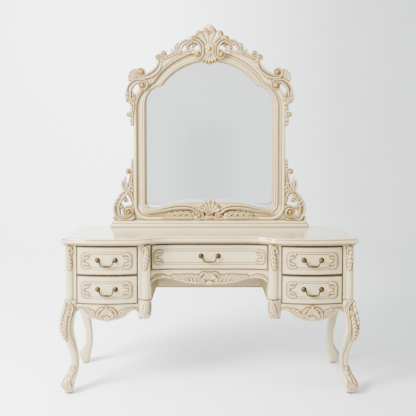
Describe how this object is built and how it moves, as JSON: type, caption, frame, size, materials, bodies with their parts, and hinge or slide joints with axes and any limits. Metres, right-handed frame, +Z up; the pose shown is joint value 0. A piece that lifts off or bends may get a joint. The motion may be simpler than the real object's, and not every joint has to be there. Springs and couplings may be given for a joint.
{
  "type": "vanity table with mirror",
  "caption": "Rococo dressing table with bowed drawer pedestals, kneehole, cabriole legs and a fixed arched mirror in a carved scrolled frame.",
  "frame": {"origin": "on the floor, under the middle of the table top", "axes": "+Z up, -Y the front with the drawers, +Y the wall side with the mirror, +X the right-hand pedestal seen from the front"},
  "size_m": [1.5002, 0.5199, 1.9329],
  "materials": {
    "cream_lacquer": "satin cream lacquer over wood with a brown glaze in the hollows",
    "carved_gilt_cream": "carved wood in cream lacquer with brown glaze and gilt high points",
    "plain_timber": "plain pale timber, lightly sealed",
    "backboard": "thin brown fibreboard",
    "mirror_silver": "silvered flat glass with a bevelled edge",
    "handle_brass": "antique brass, darkened in the hollows",
    "glide_rubber": "dark pad",
    "screw_steel": "plain steel"
  },
  "bodies": {
    "table": {"table_top": "cream_lacquer", "sub_top": "plain_timber", "leg_front_left": "cream_lacquer", "leg_front_right": "cream_lacquer", "leg_back_left": "cream_lacquer", "leg_back_right": "cream_lacquer", "post_inner_left": "cream_lacquer", "post_inner_right": "cream_lacquer", "leg_glides": "glide_rubber", "side_panel_outer_left": "cream_lacquer", "side_panel_outer_right": "cream_lacquer", "side_panel_inner_left": "cream_lacquer", "side_panel_inner_right": "cream_lacquer", "back_panel_left": "cream_lacquer", "back_panel_right": "cream_lacquer", "back_panel_centre": "cream_lacquer", "bottom_panel_left": "cream_lacquer", "bottom_panel_right": "cream_lacquer", "apron_pedestal_left": "cream_lacquer", "apron_pedestal_right": "cream_lacquer", "apron_centre": "cream_lacquer", "side_rail_left": "cream_lacquer", "side_rail_right": "cream_lacquer", "drawer_runners": "plain_timber", "mirror_plinth": "cream_lacquer", "mirror_rail_bottom": "cream_lacquer", "mirror_arch": "cream_lacquer", "mirror_stile_left": "cream_lacquer", "mirror_stile_right": "cream_lacquer", "mirror_glass": "mirror_silver", "mirror_backboard": "backboard", "mirror_struts": "plain_timber", "strut_screws": "screw_steel", "crest": "carved_gilt_cream", "shoulder_scroll_left": "carved_gilt_cream", "shoulder_scroll_right": "carved_gilt_cream", "side_bracket_left": "carved_gilt_cream", "side_bracket_right": "carved_gilt_cream", "sill_shell": "carved_gilt_cream"},
    "drawer_upper_left": {"drawer_front_upper_left": "cream_lacquer", "drawer_box_upper_left": "plain_timber", "handle_posts_upper_left": "handle_brass"},
    "handle_upper_left": {"bail_upper_left": "handle_brass"},
    "drawer_upper_right": {"drawer_front_upper_right": "cream_lacquer", "drawer_box_upper_right": "plain_timber", "handle_posts_upper_right": "handle_brass"},
    "handle_upper_right": {"bail_upper_right": "handle_brass"},
    "drawer_lower_left": {"drawer_front_lower_left": "cream_lacquer", "drawer_box_lower_left": "plain_timber", "handle_posts_lower_left": "handle_brass"},
    "handle_lower_left": {"bail_lower_left": "handle_brass"},
    "drawer_lower_right": {"drawer_front_lower_right": "cream_lacquer", "drawer_box_lower_right": "plain_timber", "handle_posts_lower_right": "handle_brass"},
    "handle_lower_right": {"bail_lower_right": "handle_brass"},
    "drawer_centre": {"drawer_front_centre": "cream_lacquer", "drawer_box_centre": "plain_timber", "handle_posts_centre": "handle_brass"},
    "handle_centre": {"bail_centre": "handle_brass"}
  },
  "joints": [
    {"name": "slide_upper_left", "type": "slide", "parent": "table", "child": "drawer_upper_left", "axis": [0, -1, 0], "range_m": [0, 0.3]},
    {"name": "swing_upper_left", "type": "hinge", "parent": "drawer_upper_left", "child": "handle_upper_left", "pos_m": [-0.51825, -0.2481, 0.67825], "axis": [-1, 0, 0], "range_deg": [0, 85]},
    {"name": "slide_upper_right", "type": "slide", "parent": "table", "child": "drawer_upper_right", "axis": [0, -1, 0], "range_m": [0, 0.3]},
    {"name": "swing_upper_right", "type": "hinge", "parent": "drawer_upper_right", "child": "handle_upper_right", "pos_m": [0.51825, -0.2481, 0.67825], "axis": [-1, 0, 0], "range_deg": [0, 85]},
    {"name": "slide_lower_left", "type": "slide", "parent": "table", "child": "drawer_lower_left", "axis": [0, -1, 0], "range_m": [0, 0.3]},
    {"name": "swing_lower_left", "type": "hinge", "parent": "drawer_lower_left", "child": "handle_lower_left", "pos_m": [-0.51825, -0.2481, 0.53075], "axis": [-1, 0, 0], "range_deg": [0, 85]},
    {"name": "slide_lower_right", "type": "slide", "parent": "table", "child": "drawer_lower_right", "axis": [0, -1, 0], "range_m": [0, 0.3]},
    {"name": "swing_lower_right", "type": "hinge", "parent": "drawer_lower_right", "child": "handle_lower_right", "pos_m": [0.51825, -0.2481, 0.53075], "axis": [-1, 0, 0], "range_deg": [0, 85]},
    {"name": "slide_centre", "type": "slide", "parent": "table", "child": "drawer_centre", "axis": [0, -1, 0], "range_m": [0, 0.26]},
    {"name": "swing_centre", "type": "hinge", "parent": "drawer_centre", "child": "handle_centre", "pos_m": [0, -0.166, 0.685], "axis": [-1, 0, 0], "range_deg": [0, 85]}
  ]
}
